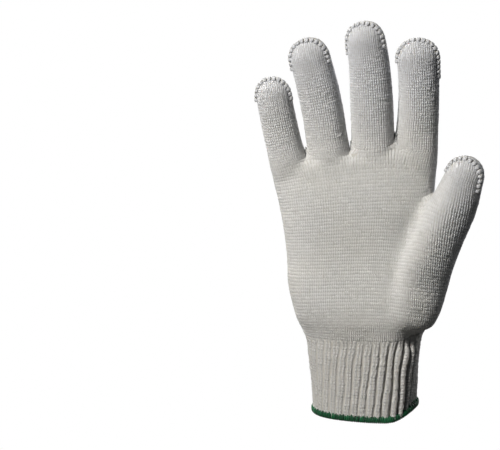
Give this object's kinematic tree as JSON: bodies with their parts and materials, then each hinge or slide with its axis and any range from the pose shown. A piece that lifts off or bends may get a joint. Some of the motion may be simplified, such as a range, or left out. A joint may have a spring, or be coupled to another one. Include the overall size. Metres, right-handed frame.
{
  "type": "knit glove",
  "caption": "Knitted cotton work glove for the right hand, in its worn form: ribbed wrist cuff, green overlocked hem and overlocked fingertips.",
  "frame": {"origin": "centre of the wrist opening, at the mean height of the hem at its two sides", "axes": "+Z from the wrist opening to the fingertips, +X towards the thumb side, -Y out of the palm"},
  "size_m": [0.1364, 0.0566, 0.2413],
  "materials": {
    "cotton_knit": "natural cotton, plain knit",
    "cotton_rib": "natural cotton, one by one rib",
    "green_edging": "dyed polyester overlock thread",
    "cotton_seam": "natural cotton overlock thread"
  },
  "bodies": {
    "root": {"palm": "cotton_knit", "finger_little": "cotton_knit", "finger_ring": "cotton_knit", "finger_middle": "cotton_knit", "finger_index": "cotton_knit", "thumb": "cotton_knit", "ribbed_cuff": "cotton_rib", "hem_edging": "green_edging", "tip_seam_little": "cotton_seam", "tip_seam_ring": "cotton_seam", "tip_seam_middle": "cotton_seam", "tip_seam_index": "cotton_seam", "tip_seam_thumb": "cotton_seam"}
  },
  "joints": []
}
